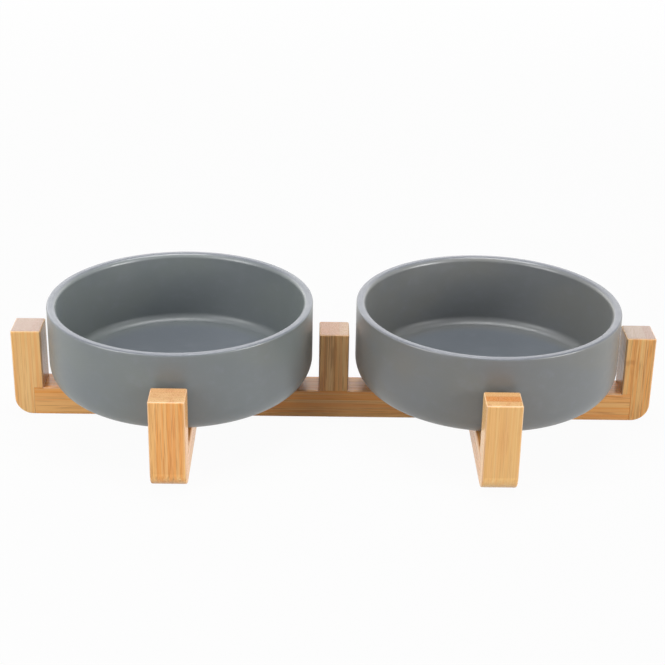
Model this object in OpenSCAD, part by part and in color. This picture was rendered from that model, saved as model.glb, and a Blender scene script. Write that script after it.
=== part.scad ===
// Double pet bowl: two round stoneware bowls that rest loose in a low bamboo stand.
// The stand is one long rail crossed by two short rails, with a post at every end and
// one in the middle, so that four posts fence each bowl in.
// +X runs along the stand, -Y is its front and +Z is up. The origin is on the floor,
// under the middle of the stand.

/* [Bowls] */
// Outside diameter of a bowl
bowl_d = 155; // [130:1:190]
// Height of a bowl from the face of its foot ring to its rim
bowl_h = 54; // [46:1:75]
// Thickness of the wall at the rim
wall_t = 5.4; // [5:0.1:7]
// How much the inside radius shrinks from the rim to the floor
inside_draft = 1.4; // [0.6:0.1:3]
// Thickness of the floor above the underside
floor_t = 6.5; // [5.5:0.5:9]
// Radius of the outer bottom corner
corner_r = 16; // [12:0.5:18]
// Radius where the inner wall meets the floor
floor_r = 5; // [3:0.5:9]
// Radius of the outer edge of the rim
lip_outer_r = 1.2; // [0.8:0.1:1.6]
// Radius of the inner edge of the rim
lip_inner_r = 2.8; // [1.6:0.1:3.2]

/* [Foot ring] */
// Outside diameter of the foot ring
foot_d = 112; // [96:1:118]
// Width of the foot ring's face
foot_w = 5; // [4:0.5:8]
// Height of the foot ring below the underside
foot_h = 3.5; // [2.5:0.1:5]
// Radius on the edges of the foot ring's face
foot_edge_r = 1; // [0.4:0.1:1.6]
// Radius of the hollow where the foot ring leaves the underside
foot_root_r = 1.5; // [0.5:0.1:2]

/* [Bamboo stock] */
// Width of the rails and posts, across the line of their rail
stock_w = 20; // [16:0.5:26]
// Thickness of the rails, and of the posts along the line of their rail
stock_t = 17.5; // [16:0.5:22]
// Height of the posts above the rails
post_rise = 36.5; // [24:0.5:48]
// Radius of the outer bottom corner of an end post
heel_r = 10.5; // [4:0.5:12]
// Rounding of every edge that is left bare
arris_r = 1; // [0.4:0.1:1.8]

/* [Layout] */
// Gap between a bowl and each post that fences it in
bowl_gap = 4; // [2:0.5:10]

/* [Joinery] */
// Depth that the end of a rail goes in under its post
rabbet_d = 5.7; // [4:0.1:7]
// Play left on each side of a cross lap
lap_clear = 0.1; // [0.05:0.05:0.3]
// Diameter of the dowels
dowel_d = 6; // [5:0.5:8]
// Length of the dowels
dowel_l = 20; // [14:1:24]
// Bamboo left between the end of a dowel and the outer face of its post
dowel_skin = 4; // [3:0.5:5]
// Chamfer on the ends of the dowels
dowel_chamfer = 0.8; // [0.3:0.1:1.2]
// Play round a dowel, on its radius
dowel_clear = 0.1; // [0.05:0.05:0.25]
// Depth left for glue past each end of a dowel
glue_gap = 0.5; // [0.2:0.1:0.8]

/* [Lap screws] */
// Diameter of the screws' shank
screw_d = 3.5; // [3:0.5:5]
// Diameter of the screws' countersunk head
screw_head_d = 7; // [6:0.5:9]
// Bamboo left above the tip of a screw
screw_skin = 3.5; // [2.5:0.5:5]
// Play round a screw, on its radius
screw_clear = 0.1; // [0.05:0.05:0.2]
// Width of each slot of the cross recess
recess_w = 1; // [0.6:0.1:1.4]
// Length of each slot of the cross recess
recess_l = 4; // [3:0.1:5]
// Depth of the cross recess
recess_depth = 1.4; // [0.8:0.1:2]

/* [Pads] */
// Diameter of the non-slip pads
pad_d = 10; // [7:0.5:13]
// Thickness of the non-slip pads
pad_t = 1.5; // [1:0.1:3]
// Distance from the outer face of a post to the centre of its pad
pad_inset = 18; // [18:0.5:24]
// Radius on the lower edge of a pad
pad_edge_r = 0.5; // [0.2:0.1:0.8]

/* [Hidden] */

// Smoothness of round shapes in the preview
$fn = 64;
bowl_fn = 180;

STONEWARE = "#7f8685";
BAMBOO = "#dca668";
BEECH = "#d9bd92";
STEEL = "#a4a6a8";
RUBBER = "#5b5d5e";

// Overrun of every cut past the face that it opens
over = 1;
// Most of the post's foot that its heel may round away
heel_limit_share = 0.9;
// Depth of each half of a cross lap
lap_share = 0.5;

// Places, worked out from the bowls outwards
bowl_r = bowl_d / 2;
bowl_x = stock_t / 2 + bowl_gap + bowl_r;
half_l = bowl_x + bowl_r + bowl_gap + stock_t;
half_d = bowl_r + bowl_gap + stock_t;
post_h = stock_t + post_rise;
seat_z = pad_t + stock_t;
heel = min(heel_r, heel_limit_share * (stock_t - rabbet_d));
lap_h = lap_share * stock_t;

// Inside of a bowl: its draft, and the arcs that touch the drafted wall
floor_z = foot_h + floor_t;
mouth_r = bowl_r - wall_t;
draft_a = atan(inside_draft / (bowl_h - floor_z));
floor_arc_x = mouth_r - inside_draft + floor_r * (tan(draft_a) - 1 / cos(draft_a));
lip_arc_x = mouth_r - lip_inner_r * (tan(draft_a) - 1 / cos(draft_a));
lip_start_z = bowl_h - lip_inner_r * (1 - sin(draft_a));

// Dowels and screws
post_bore_r = dowel_d / 2 + dowel_clear;
screw_r = screw_d / 2;
screw_l = stock_t - screw_skin;
head_r = screw_head_d / 2;
head_h = head_r - screw_r;

// The sliver between a square corner at the origin and an arc of radius r inside it
module spandrel(r) {
    difference() {
        translate([-over, -over]) square(r + over);
        translate([r, r]) circle(r);
    }
}

// Outline of half a bowl, with its axis on x = 0 and the face of its foot on y = 0
module bowl_outline() {
    foot_r = foot_d / 2;
    difference() {
        union() {
            translate([0, foot_h]) square([bowl_r - corner_r, bowl_h - foot_h]);
            translate([0, foot_h + corner_r]) square([bowl_r, bowl_h - foot_h - corner_r]);
            translate([bowl_r - corner_r, foot_h + corner_r]) circle(corner_r);
            translate([foot_r - foot_w, 0]) square([foot_w, floor_z]);
            translate([foot_r, foot_h]) mirror([0, 1]) spandrel(foot_root_r);
            translate([foot_r - foot_w, foot_h]) mirror([0, 1]) mirror([1, 0]) spandrel(foot_root_r);
        }
        inside_outline();
        translate([bowl_r, bowl_h]) mirror([0, 1]) mirror([1, 0]) spandrel(lip_outer_r);
        translate([foot_r, 0]) mirror([1, 0]) spandrel(foot_edge_r);
        translate([foot_r - foot_w, 0]) spandrel(foot_edge_r);
    }
}

// The hollow of a bowl, with its rounded floor corner and the rounding of the lip
module inside_outline() {
    wall_foot = [floor_arc_x + floor_r * cos(draft_a), floor_z + floor_r * (1 - sin(draft_a))];
    difference() {
        union() {
            polygon([
                [0, floor_z],
                [floor_arc_x, floor_z],
                [floor_arc_x, floor_z + floor_r],
                wall_foot,
                [mouth_r, bowl_h],
                [mouth_r, bowl_h + over],
                [0, bowl_h + over]
            ]);
            translate([floor_arc_x, floor_z + floor_r]) circle(floor_r);
            translate([lip_arc_x - lip_inner_r, lip_start_z])
                square([lip_inner_r, bowl_h - lip_start_z + over]);
        }
        translate([lip_arc_x, bowl_h - lip_inner_r]) circle(lip_inner_r);
    }
}

// A bowl centred at x, standing on the rails
module bowl(x) {
    color(STONEWARE)
        translate([x, 0, seat_z])
        rotate_extrude($fn = bowl_fn)
        intersection() {
            bowl_outline();
            square([bowl_r, bowl_h]);
        }
}

// Cutter that rounds an edge along +Z, with the bamboo towards +X and +Y
module edge_cut(run) {
    linear_extrude(run) spandrel(arris_r);
}

// The same cutter laid along +X, with the bamboo towards +Y and +Z
module level_edge_cut(run) {
    rotate([90, 0, 90]) edge_cut(run);
}

// Puts a cutter made for the side at -Y on that side and on the one at +Y
module both_sides() {
    for (side = [0, 1])
        mirror([0, side, 0]) children();
}

// Rounds a rail's lower edges, or with top = true its upper ones, from x = a to x = b
module rail_edge(a, b, top) {
    both_sides()
        translate([a, -stock_w / 2, top ? stock_t : 0])
        mirror([0, 0, top ? 1 : 0])
        level_edge_cut(b - a);
}

// Hole for a dowel along +X that starts at the origin
module dowel_bore() {
    translate([-glue_gap, 0, 0])
        rotate([0, 90, 0])
        cylinder(h = dowel_l + 2 * glue_gap, r = post_bore_r);
}

// A dowel along +X that starts at the origin
module dowel() {
    r = dowel_d / 2;
    color(BEECH)
        rotate([0, 90, 0])
        rotate_extrude()
        polygon([
            [0, 0],
            [r - dowel_chamfer, 0],
            [r, dowel_chamfer],
            [r, dowel_l - dowel_chamfer],
            [r - dowel_chamfer, dowel_l],
            [0, dowel_l]
        ]);
}

// Puts the dowel of an end joint in place for a rail that reaches to the given distance
module in_end_joint(reach) {
    translate([reach - dowel_skin - dowel_l, 0, stock_t / 2]) children();
}

// Puts the dowel of the middle joint in place, half in the rail and half in the post
module in_middle_joint() {
    translate([0, 0, stock_t - dowel_l / 2]) rotate([0, -90, 0]) children();
}

// A bar along X with square ends that runs under the posts at both its ends
module rail_bar(reach) {
    rail_half = reach - stock_t + rabbet_d;
    difference() {
        translate([-rail_half, -stock_w / 2, 0]) cube([2 * rail_half, stock_w, stock_t]);
        for (turn = [0, 180])
            rotate([0, 0, turn]) in_end_joint(reach) dowel_bore();
    }
}

// Hole for a lap screw, from the rails' underside up
module screw_bore() {
    r = screw_r + screw_clear;
    sink_r = head_r + screw_clear;
    rotate_extrude()
        polygon([
            [0, -over],
            [sink_r, -over],
            [sink_r, 0],
            [r, sink_r - r],
            [r, screw_l + screw_clear],
            [0, screw_l + screw_clear]
        ]);
}

// The long rail, notched from below for the cross rails
module long_rail_bar() {
    rail_half = half_l - stock_t + rabbet_d;
    inner = half_l - stock_t;
    notch_w = stock_w + 2 * lap_clear;
    difference() {
        rail_bar(half_l);
        for (side = [-1, 1]) {
            translate([side * bowl_x - notch_w / 2, -stock_w / 2 - over, -over])
                cube([notch_w, stock_w + 2 * over, lap_h + over]);
            translate([side * bowl_x, 0, 0]) screw_bore();
        }
        in_middle_joint() dowel_bore();
        for (turn = [0, 180])
            rotate([0, 0, turn]) {
                rail_edge(stock_t / 2, bowl_x - stock_w / 2, true);
                rail_edge(bowl_x + stock_w / 2, inner, true);
                rail_edge(bowl_x + notch_w / 2, rail_half, false);
            }
        rail_edge(notch_w / 2 - bowl_x, bowl_x - notch_w / 2, false);
    }
}

// A cross rail along X, notched from above for the long rail
module cross_rail_bar() {
    rail_half = half_d - stock_t + rabbet_d;
    notch_w = stock_w + 2 * lap_clear;
    difference() {
        rail_bar(half_d);
        translate([-notch_w / 2, -stock_w / 2 - over, lap_h])
            cube([notch_w, stock_w + 2 * over, stock_t - lap_h + over]);
        screw_bore();
        for (turn = [0, 180])
            rotate([0, 0, turn]) {
                rail_edge(notch_w / 2, half_d - stock_t, true);
                rail_edge(notch_w / 2, rail_half, false);
            }
    }
}

// Rounds the four edges round the top of a post whose inner face is at x = -stock_t,
// and its upright edges: the outer pair down to outer_z, the inner pair down to inner_z
module post_edges(outer_z, inner_z, top_z) {
    both_sides() {
        translate([-stock_t, -stock_w / 2, top_z]) mirror([0, 0, 1]) level_edge_cut(stock_t);
        translate([0, -stock_w / 2, outer_z]) mirror([1, 0, 0]) edge_cut(top_z - outer_z);
        translate([-stock_t, -stock_w / 2, inner_z]) edge_cut(top_z - inner_z);
    }
    for (side = [0, 1])
        translate([-stock_t / 2, 0, top_z])
        mirror([side, 0, 0])
        translate([-stock_t / 2, 0, 0])
        mirror([0, 0, 1])
        rotate([90, 0, 0])
        translate([0, 0, -stock_w / 2])
        edge_cut(stock_w);
}

// Rounds the side edges of a heel, and the bit of foot between the heel and the rail
module heel_edges() {
    both_sides() {
        translate([-heel, 0, heel])
            rotate([-90, 0, 0])
            rotate_extrude(angle = 90)
            translate([heel, -stock_w / 2])
            mirror([1, 0])
            spandrel(arris_r);
        translate([rabbet_d - stock_t, -stock_w / 2, 0])
            level_edge_cut(stock_t - rabbet_d - heel);
    }
}

// A full-height post for a rail's end, with its outer face at x = 0: the heel is rounded
// and the rabbet inside its foot takes the end of the rail
module end_post_bar() {
    difference() {
        rotate([90, 0, 0])
            linear_extrude(stock_w, center = true)
            difference() {
                translate([-stock_t, 0]) square([stock_t, post_h]);
                translate([-rabbet_d - stock_t, -over]) square([2 * rabbet_d, stock_t + over]);
                mirror([1, 0]) spandrel(heel);
            }
        post_edges(heel, stock_t, post_h);
        heel_edges();
        in_end_joint(0) dowel_bore();
    }
}

// The post that stands on the middle of the long rail, with its outer face at x = 0
module middle_post_bar() {
    difference() {
        translate([-stock_t, -stock_w / 2, stock_t]) cube([stock_t, stock_w, post_rise]);
        post_edges(stock_t, stock_t, post_h);
        translate([-stock_t / 2, 0, 0]) in_middle_joint() dowel_bore();
    }
}

// A non-slip pad for a rail that reaches to the given distance
module pad(reach) {
    r = pad_d / 2;
    color(RUBBER)
        translate([reach - pad_inset, 0, 0])
        rotate_extrude()
        difference() {
            square([r, pad_t]);
            translate([r, 0]) mirror([1, 0]) spandrel(pad_edge_r);
        }
}

// A countersunk screw, with the face of its head on z = 0 and its tip up
module lap_screw() {
    color(STEEL)
        difference() {
            rotate_extrude()
                polygon([
                    [0, 0],
                    [head_r, 0],
                    [screw_r, head_h],
                    [screw_r, screw_l - screw_d],
                    [0, screw_l]
                ]);
            for (turn = [0, 90])
                rotate([0, 0, turn])
                translate([-recess_l / 2, -recess_w / 2, -over])
                cube([recess_l, recess_w, recess_depth + over]);
        }
}

// Lifts a piece of the stand onto its pads and turns it round the point at x
module on_pads(x, turn) {
    translate([x, 0, pad_t]) rotate([0, 0, turn]) children();
}

// Places on the stand: the end joints lie at these turns round the middle of their rail
RIGHT = 0;
BACK = 90;
LEFT = 180;
FRONT = 270;

module left_bowl() { bowl(-bowl_x); }
module right_bowl() { bowl(bowl_x); }

module long_rail() { color(BAMBOO) on_pads(0, RIGHT) long_rail_bar(); }
module left_cross_rail() { color(BAMBOO) on_pads(-bowl_x, BACK) cross_rail_bar(); }
module right_cross_rail() { color(BAMBOO) on_pads(bowl_x, BACK) cross_rail_bar(); }

module end_post(x, turn, reach) {
    color(BAMBOO) on_pads(x, turn) translate([reach, 0, 0]) end_post_bar();
}
module left_end_post() { end_post(0, LEFT, half_l); }
module right_end_post() { end_post(0, RIGHT, half_l); }
module left_front_post() { end_post(-bowl_x, FRONT, half_d); }
module left_back_post() { end_post(-bowl_x, BACK, half_d); }
module right_front_post() { end_post(bowl_x, FRONT, half_d); }
module right_back_post() { end_post(bowl_x, BACK, half_d); }
module centre_post() {
    color(BAMBOO) on_pads(0, RIGHT) translate([stock_t / 2, 0, 0]) middle_post_bar();
}

module end_dowel(x, turn, reach) { on_pads(x, turn) in_end_joint(reach) dowel(); }
module left_end_dowel() { end_dowel(0, LEFT, half_l); }
module right_end_dowel() { end_dowel(0, RIGHT, half_l); }
module left_front_dowel() { end_dowel(-bowl_x, FRONT, half_d); }
module left_back_dowel() { end_dowel(-bowl_x, BACK, half_d); }
module right_front_dowel() { end_dowel(bowl_x, FRONT, half_d); }
module right_back_dowel() { end_dowel(bowl_x, BACK, half_d); }
module centre_dowel() { on_pads(0, RIGHT) in_middle_joint() dowel(); }

module left_lap_screw() { on_pads(-bowl_x, RIGHT) lap_screw(); }
module right_lap_screw() { on_pads(bowl_x, RIGHT) lap_screw(); }

module end_pad(x, turn, reach) { translate([x, 0, 0]) rotate([0, 0, turn]) pad(reach); }
module left_end_pad() { end_pad(0, LEFT, half_l); }
module right_end_pad() { end_pad(0, RIGHT, half_l); }
module left_front_pad() { end_pad(-bowl_x, FRONT, half_d); }
module left_back_pad() { end_pad(-bowl_x, BACK, half_d); }
module right_front_pad() { end_pad(bowl_x, FRONT, half_d); }
module right_back_pad() { end_pad(bowl_x, BACK, half_d); }

left_bowl();
right_bowl();
long_rail();
left_cross_rail();
right_cross_rail();
left_end_post();
centre_post();
right_end_post();
left_front_post();
left_back_post();
right_front_post();
right_back_post();
left_end_dowel();
centre_dowel();
right_end_dowel();
left_front_dowel();
left_back_dowel();
right_front_dowel();
right_back_dowel();
left_lap_screw();
right_lap_screw();
left_end_pad();
right_end_pad();
left_front_pad();
left_back_pad();
right_front_pad();
right_back_pad();
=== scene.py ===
"""Double pet bowl: two stoneware bowls in a bamboo stand, with a pale studio round them.

Lengths are in metres, in the frame of the CAD model: +X runs along the stand, -Y is its
front, +Z is up, and the origin is on the floor under the middle of the stand.
"""

import math

import bmesh
import bpy
from bpy.props import FloatProperty, FloatVectorProperty, IntProperty, PointerProperty
from mathutils import Euler, Matrix, Vector


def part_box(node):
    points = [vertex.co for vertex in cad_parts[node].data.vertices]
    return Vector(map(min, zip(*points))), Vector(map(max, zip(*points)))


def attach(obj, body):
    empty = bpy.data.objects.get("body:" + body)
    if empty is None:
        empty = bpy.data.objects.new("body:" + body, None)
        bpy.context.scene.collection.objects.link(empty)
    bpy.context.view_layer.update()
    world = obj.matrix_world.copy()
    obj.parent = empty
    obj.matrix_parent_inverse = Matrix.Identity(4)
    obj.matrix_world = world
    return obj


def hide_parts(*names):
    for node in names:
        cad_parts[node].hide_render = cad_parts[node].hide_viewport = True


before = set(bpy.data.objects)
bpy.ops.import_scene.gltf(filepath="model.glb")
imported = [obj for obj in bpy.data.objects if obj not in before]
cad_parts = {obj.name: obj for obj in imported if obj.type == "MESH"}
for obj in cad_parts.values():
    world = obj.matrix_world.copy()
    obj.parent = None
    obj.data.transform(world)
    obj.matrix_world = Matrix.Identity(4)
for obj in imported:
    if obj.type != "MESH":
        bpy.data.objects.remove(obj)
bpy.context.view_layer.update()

bl_info = {
    "name": "Double Pet Bowl",
    "version": (1, 0, 0),
    "blender": (4, 5, 0),
    "location": "View3D > Sidebar > Pet Bowl",
    "description": "Two stoneware bowls in a bamboo stand, and a studio to show them in",
    "category": "Add Mesh",
}

MM = 0.001
# Lengths closer than this are the same
NEAR = 0.02 * MM
# How far a finished piece may differ from the box of its CAD node
LOOSE = 0.1 * MM
# The least cosine at which a face counts as looking along a direction
ALONG = 0.99
# Strips across a bar: a little less than three, so that its faces stay inside their own
STRIPS = 2.97

# Settings that many shader nodes share
SMOOTH = {"interpolation_type": "SMOOTHSTEP", "clamp": True}
COLOURS = {"out": 2, "data_type": "RGBA", "clamp_factor": True}

# Each soft box: its name, the setting of its power, its place and its size in metres
LAMPS = (
    ("Overhead soft box", "top_light", (0, 0.05, 1.0), (0.6, 0.45)),
    ("Left front soft box", "left_light", (-0.66, -0.46, 0.40), (0.5, 0.6)),
    ("Far left soft box", "far_left_light", (-1.7, -1.0, 0.48), (0.9, 0.8)),
    ("Far right soft box", "far_right_light", (1.7, -1.0, 0.48), (0.9, 0.8)),
    ("Left back soft box", "left_back_light", (-0.64, 0.64, 0.42), (0.6, 0.5)),
    ("Back soft box", "back_light", (0, 1.2, 0.55), (2.4, 0.8)),
)

# How the bamboo of each bar differs, in the words of strip_bamboo
BARS = {
    "long_rail": {"seed": 1, "tone": 0.42},
    "left_cross_rail": {"seed": 2, "tone": 0.3},
    "right_cross_rail": {"seed": 3, "tone": 0.3},
    "left_end_post": {"seed": 25, "tone": 0.05, "streaky": 0.6, "end_dullness_and_sheen": 0.85},
    "right_end_post": {
        "seed": 12, "tone": 0.15, "streaky": 0.9, "end_dullness_and_sheen": 0.85, "knuckle_at": 317.5,
        "smoky": 0.3,
    },
    "left_front_post": {
        "seed": 21, "tone": 0.36, "streaky": 0.85, "end_dullness_and_sheen": 0.25, "smoky": 0.2,
    },
    "left_back_post": {"seed": 14, "tone": 0.3},
    "right_front_post": {"seed": 22, "tone": 0.05, "streaky": 0.25, "end_dullness_and_sheen": 0.1},
    "right_back_post": {"seed": 16, "tone": 0.3, "streaky": 0.8},
    "centre_post": {"seed": 40, "tone": 0.1, "streaky": 0.6, "end_dullness_and_sheen": 0.62, "smoky": 0.45},
}

PADS = [
    "left_end_pad", "right_end_pad",
    "left_front_pad", "left_back_pad", "right_front_pad", "right_back_pad",
]
END_DOWELS = ["left_end_dowel", "right_end_dowel"]
CROSS_DOWELS = ["left_front_dowel", "left_back_dowel", "right_front_dowel", "right_back_dowel"]


# Sizes and colours that a user would change

def length(name, description, default_mm):
    """A length property, given in millimetres."""
    return FloatProperty(
        name=name, description=description, default=default_mm * MM,
        min=0.0, subtype="DISTANCE", unit="LENGTH",
    )


def to_linear(code):
    """Linear red, green and blue of an sRGB hex colour such as #7f8685."""
    shares = [int(code[i:i + 2], 16) / 255 for i in (1, 3, 5)]
    return tuple(s / 12.92 if s <= 0.04045 else ((s + 0.055) / 1.055) ** 2.4 for s in shares)


def colour(name, description, code):
    """A colour property, given as an sRGB hex colour."""
    return FloatVectorProperty(
        name=name, description=description, default=to_linear(code),
        size=3, min=0.0, max=1.0, subtype="COLOR",
    )


def power(name, description, default):
    """A lamp's power property, in watts."""
    return FloatProperty(
        name=name, description=description, default=default, min=0.0, subtype="POWER",
    )


class BowlSettings(bpy.types.PropertyGroup):
    """Sizes and glaze of the bowls."""

    wall: length("Wall", "Thickness of the wall at the rim", 5.4)
    draft: length("Draft", "How much the inside radius shrinks from rim to floor", 1.4)
    floor: length("Floor", "Thickness of the floor above the underside", 6.5)
    corner: length("Corner", "Radius of the outer bottom corner", 16)
    floor_corner: length("Floor Corner", "Radius where the wall meets the floor", 5)
    lip_outer: length("Outer Lip", "Radius of the outer edge of the rim", 1.2)
    lip_inner: length("Inner Lip", "Radius of the inner edge of the rim", 2.8)
    foot_radius: length("Foot Radius", "Outside radius of the foot ring", 56)
    foot_width: length("Foot Width", "Width of the foot ring's face", 5)
    foot_height: length("Foot Height", "Height of the foot ring", 3.5)
    foot_edge: length("Foot Edge", "Radius on the edges of the foot ring's face", 1)
    foot_root: length("Foot Root", "Radius where the foot ring leaves the underside", 1.5)
    rounds: IntProperty(
        name="Rounds", description="Faces round a bowl", default=256, min=64, max=512,
    )
    glaze: colour("Glaze", "Main grey of the glaze", "#717776")
    glaze_warm: colour("Warm Glaze", "Warmer grey that a bowl can lean to", "#747471")
    # The cool grey is partly the glaze's own bluer clouds and partly painted cool light on the
    # bowls' floors
    glaze_cool_and_cool_light: colour("Cool Glaze", "Bluer grey where the glaze is thick", "#6a7077")
    glaze_thin: colour("Thin Glaze", "Paler grey where the glaze runs thin", "#7f838c")
    # The cool tint of the rim grey is painted cool light from above
    glaze_rim: colour("Rim Glaze", "Cooler, darker grey of the glossier rim", "#626671")


class BambooSettings(bpy.types.PropertyGroup):
    """Sizes and colours of the bamboo bars."""

    rabbet: length("Rabbet", "Depth that a rail's end goes in under its post", 5.7)
    heel: length("Heel", "Radius of the outer bottom corner of a post", 10.5)
    arris: length("Arris", "Rounding of the bare edges", 1)
    joint: length("Joint Edge", "Tiny chamfer along the glued joints", 0.2)
    lap_clear: length("Lap Play", "Play on each side of a cross lap", 0.1)
    bore: length("Bore", "Radius of the holes for the dowels", 3.1)
    glue_gap: length("Glue Gap", "Depth left for glue past the end of a dowel", 0.5)
    pale: colour("Pale Fibres", "Palest fibres", "#ffd494")
    honey: colour("Honey", "Main colour", "#f5c47d")
    amber: colour("Amber", "Darker streaks", "#f2a14d")
    rose: colour("Rose", "Pinker patches", "#eca868")
    brown: colour("Brown", "Tint of the bundles, knuckles and glue lines", "#b07c45")
    # The end grain colour is partly the duller brown of cut fibres and partly a painted sheen,
    # greyed, on the posts' tops
    end_grain_and_sheen: colour("End Grain", "Duller brown where the fibres are cut across", "#a5958f")
    # Painted highlight: the paler colour laid on the rounded edges that face sideways or up
    edge_highlight: colour("Painted Edge Highlight", "Paler and duller along the rounded edges", "#e6cdb6")


class FittingSettings(bpy.types.PropertyGroup):
    """Sizes and colours of the dowels, screws and pads."""

    dowel_end: length("Dowel End", "Chamfer on the ends of a dowel", 0.8)
    flute: length("Flute", "Depth of the flutes that let the glue out", 0.3)
    shank: length("Shank", "Radius of a screw's shank", 1.75)
    head: length("Head", "Radius of a screw's countersunk head", 3.5)
    screw_clear: length("Screw Play", "Play round a screw", 0.1)
    recess_width: length("Recess Width", "Width of each slot of the cross recess", 1)
    recess_length: length("Recess Length", "Length of each slot of the cross recess", 4)
    recess_depth: length("Recess Depth", "Depth of the cross recess", 1.4)
    thread_root: length("Thread Root", "Radius at the bottom of a screw's thread", 1.2)
    thread_pitch: length("Thread Pitch", "Step from one turn of the thread to the next", 1.5)
    pad_edge: length("Pad Edge", "Rounding of a pad's lower edge", 0.5)
    steel: colour("Steel", "Zinc-plated screws", "#b4b6b8")
    rubber: colour("Rubber", "Non-slip pads", "#5b5d5e")
    beech: colour("Beech", "Dowels", "#d9bd92")


class StudioSettings(bpy.types.PropertyGroup):
    """Camera and light."""

    lens: FloatProperty(
        name="Lens", description="Focal length of the camera on a 36 mm wide sensor",
        default=81.88, min=10.0, max=300.0, subtype="DISTANCE_CAMERA",
    )
    stand_at: FloatVectorProperty(
        name="Camera Place", description="Where the camera stands",
        default=(-13.53 * MM, -815.09 * MM, 420.62 * MM), size=3, subtype="TRANSLATION",
    )
    yaw: FloatProperty(
        name="Yaw", description="How far the camera looks to the right of +Y",
        default=math.radians(0.88), subtype="ANGLE",
    )
    pitch: FloatProperty(
        name="Pitch", description="How far the camera looks up",
        default=math.radians(-24.29), subtype="ANGLE",
    )
    roll: FloatProperty(
        name="Roll", description="How far the camera leans to the left",
        default=math.radians(1.08), subtype="ANGLE",
    )
    top_light: power("Top Light", "Power of the soft box overhead", 7.6)
    left_light: power("Left Light", "Power of the near soft box at the left front", 4.5)
    far_left_light: power("Far Left Light", "Power of the far soft box at the left", 4.5)
    far_right_light: power("Far Right Light", "Power of the far soft box at the right", 30.0)
    left_back_light: power("Left Back Light", "Power of the soft box at the left back", 1.0)
    back_light: power("Back Light", "Power of the wide soft box behind the stand", 7.5)
    paper: colour("Paper", "Grey by which the paper throws light back up", "#b2b2b1")
    glow: FloatProperty(
        name="Paper Glow", description="How far the camera sees the paper as plain white",
        default=0.96, min=0.0, max=1.0, subtype="FACTOR",
    )


# Modelling, as by hand

def clear():
    """Selects nothing."""
    bpy.ops.object.select_all(action="DESELECT")


def only(obj):
    """Makes one object the only selected one, and the active one."""
    clear()
    obj.select_set(True)
    bpy.context.view_layer.objects.active = obj


def edit(name):
    """Names the new primitive, puts its place into its mesh and starts editing it."""
    obj = bpy.context.object
    obj.name = obj.data.name = name
    bpy.ops.object.transform_apply(location=True, rotation=True, scale=True)
    bpy.ops.object.mode_set(mode="EDIT")
    return obj


def pick(kind, test):
    """Selects the verts, edges or faces of the mesh in edit mode that pass a test."""
    bpy.ops.mesh.select_mode(type=kind)
    bpy.ops.mesh.select_all(action="DESELECT")
    data = bpy.context.object.data
    mesh = bmesh.from_edit_mesh(data)
    parts = {"VERT": mesh.verts, "EDGE": mesh.edges, "FACE": mesh.faces}[kind]
    found = [part for part in parts if test(part)]
    if not found:
        raise RuntimeError(f"{bpy.context.object.name}: nothing to select")
    for part in found:
        part.select_set(True)
    mesh.select_flush_mode()
    bmesh.update_edit_mesh(data)


def middle(edge):
    """The middle of an edge."""
    return (edge.verts[0].co + edge.verts[1].co) / 2


def same(a, b):
    """True for two lengths that are the same."""
    return abs(a - b) < NEAR


def facing(x, y, z):
    """A test for faces that look along a direction."""
    return lambda face: face.normal.dot(Vector((x, y, z))) > ALONG


def extrude(x, y, z):
    """Extrudes the selection by a distance."""
    bpy.ops.mesh.extrude_region_move(TRANSFORM_OT_translate={"value": (x, y, z)})


def narrow(axis_x, z, share):
    """Scales the selection about an upright axis."""
    bpy.ops.transform.resize(value=(share, share, 1), center_override=(axis_x, 0, z))


def bevel(radius, segments):
    """Rounds the selected edges."""
    bpy.ops.mesh.bevel(
        offset=radius, offset_type="OFFSET", segments=segments, profile=0.5, affect="EDGES",
    )


def cut_across(place, normal):
    """Cuts the whole mesh in edit mode along a plane."""
    bpy.ops.mesh.select_all(action="SELECT")
    bpy.ops.mesh.bisect(plane_co=place, plane_no=normal)


def done(obj, angle=30):
    """Leaves edit mode with outward normals, and shades the piece."""
    bpy.ops.mesh.select_all(action="SELECT")
    bpy.ops.mesh.remove_doubles(threshold=0.001 * MM)
    bpy.ops.mesh.normals_make_consistent(inside=False)
    bpy.ops.object.mode_set(mode="OBJECT")
    only(obj)
    bpy.ops.object.shade_smooth_by_angle(angle=math.radians(angle))
    return obj


def true_flats(obj):
    """Keeps flat faces flat in the shading beside their rounded edges."""
    only(obj)
    weigh = obj.modifiers.new("Flat faces first", "WEIGHTED_NORMAL")
    weigh.keep_sharp = True
    weigh.weight = 100
    bpy.ops.object.modifier_apply(modifier=weigh.name)
    return obj


def carve(obj, cutter):
    """Takes a cutter's shape out of a piece, and removes the cutter."""
    only(obj)
    bore = obj.modifiers.new("Bore", "BOOLEAN")
    bore.operation = "DIFFERENCE"
    bore.solver = "EXACT"
    bore.object = cutter
    bpy.ops.object.modifier_apply(modifier=bore.name)
    bpy.data.objects.remove(cutter)


def copied(obj, name, turn, shift, about=(0, 0, 0)):
    """A copy with its own mesh, turned about an upright axis and then shifted."""
    only(obj)
    bpy.ops.object.duplicate()
    twin = bpy.context.object
    twin.name = twin.data.name = name
    twin.data.transform(
        Matrix.Translation(Vector(shift) + Vector(about))
        @ Matrix.Rotation(turn, 4, "Z")
        @ Matrix.Translation(-Vector(about))
    )
    return twin


def into_place(obj, node, body, material):
    """Puts a finished piece in the place of its CAD node."""
    obj.name = obj.data.name = node + "_finished"
    obj.data.materials.clear()
    obj.data.materials.append(material)
    low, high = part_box(node)
    for axis in range(3):
        places = [vert.co[axis] for vert in obj.data.vertices]
        off = max(abs(min(places) - low[axis]), abs(max(places) - high[axis]))
        if off > LOOSE:
            raise RuntimeError(f"{obj.name} doesn't fill the box of {node}")
    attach(obj, body)
    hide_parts(node)


# Materials

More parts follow.
